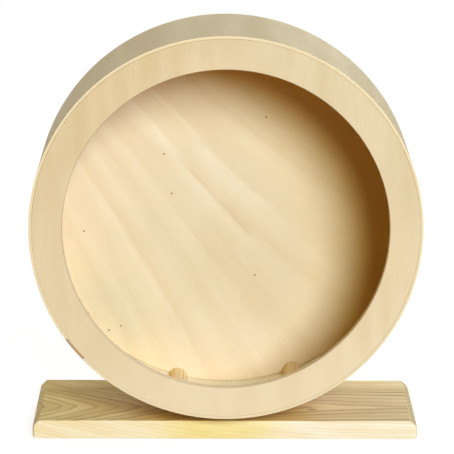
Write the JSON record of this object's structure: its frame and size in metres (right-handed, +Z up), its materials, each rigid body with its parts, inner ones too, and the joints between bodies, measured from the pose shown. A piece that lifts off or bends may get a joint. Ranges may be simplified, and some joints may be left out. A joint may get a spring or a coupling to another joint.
{
  "type": "rodent exercise wheel",
  "caption": "Free-standing wooden running wheel for a small rodent: closed plywood drum with half-round rungs on an axle in ball bearings, over a flat base board.",
  "frame": {"origin": "centre of the base board's underside", "axes": "+Z up, the wheel's open front faces -Y, the axle runs along Y"},
  "size_m": [0.3, 0.1455, 0.321],
  "materials": {
    "pine_board": "planed softwood, unvarnished",
    "birch_plywood": "sanded plywood, unvarnished",
    "bent_plywood": "thin bent plywood, unvarnished",
    "rung_wood": "half-round moulding, unvarnished",
    "zinc_steel": "bright zinc plate",
    "bearing_steel": "ground steel",
    "nylon": "natural nylon"
  },
  "bodies": {
    "stand": {"base_board": "pine_board", "upright_post": "pine_board", "post_screws": "zinc_steel", "front_bearing_outer_race": "bearing_steel", "front_bearing_shields": "bearing_steel", "rear_bearing_outer_race": "bearing_steel", "rear_bearing_shields": "bearing_steel"},
    "wheel": {"running_track": "bent_plywood", "front_ring": "birch_plywood", "back_disc": "birch_plywood", "rung_01": "rung_wood", "rung_02": "rung_wood", "rung_03": "rung_wood", "rung_04": "rung_wood", "rung_05": "rung_wood", "rung_06": "rung_wood", "rung_07": "rung_wood", "rung_08": "rung_wood", "rung_09": "rung_wood", "rung_10": "rung_wood", "hub_block": "birch_plywood", "hub_screws": "zinc_steel", "axle_bolt": "zinc_steel", "hub_washer": "zinc_steel", "hub_nut": "zinc_steel", "front_shim": "zinc_steel", "race_spacer": "zinc_steel", "rear_shim": "zinc_steel", "lock_nut": "zinc_steel", "lock_nut_insert": "nylon", "front_bearing_inner_race": "bearing_steel", "rear_bearing_inner_race": "bearing_steel"},
    "front_ball_set": {"front_bearing_balls": "bearing_steel", "front_bearing_cage": "bearing_steel"},
    "rear_ball_set": {"rear_bearing_balls": "bearing_steel", "rear_bearing_cage": "bearing_steel"}
  },
  "joints": [
    {"name": "wheel_spin", "type": "hinge", "parent": "stand", "child": "wheel", "pos_m": [0, 0.0605, 0.171], "axis": [0, 1, 0], "continuous": true},
    {"name": "front_ball_set_spin", "type": "hinge", "parent": "stand", "child": "front_ball_set", "pos_m": [0, 0.055, 0.171], "axis": [0, 1, 0], "continuous": true},
    {"name": "rear_ball_set_spin", "type": "hinge", "parent": "stand", "child": "rear_ball_set", "pos_m": [0, 0.066, 0.171], "axis": [0, 1, 0], "continuous": true}
  ],
  "couplings": [
    {"joint": "front_ball_set_spin", "follows": "wheel_spin", "ratio": 0.37},
    {"joint": "rear_ball_set_spin", "follows": "wheel_spin", "ratio": 0.37}
  ]
}
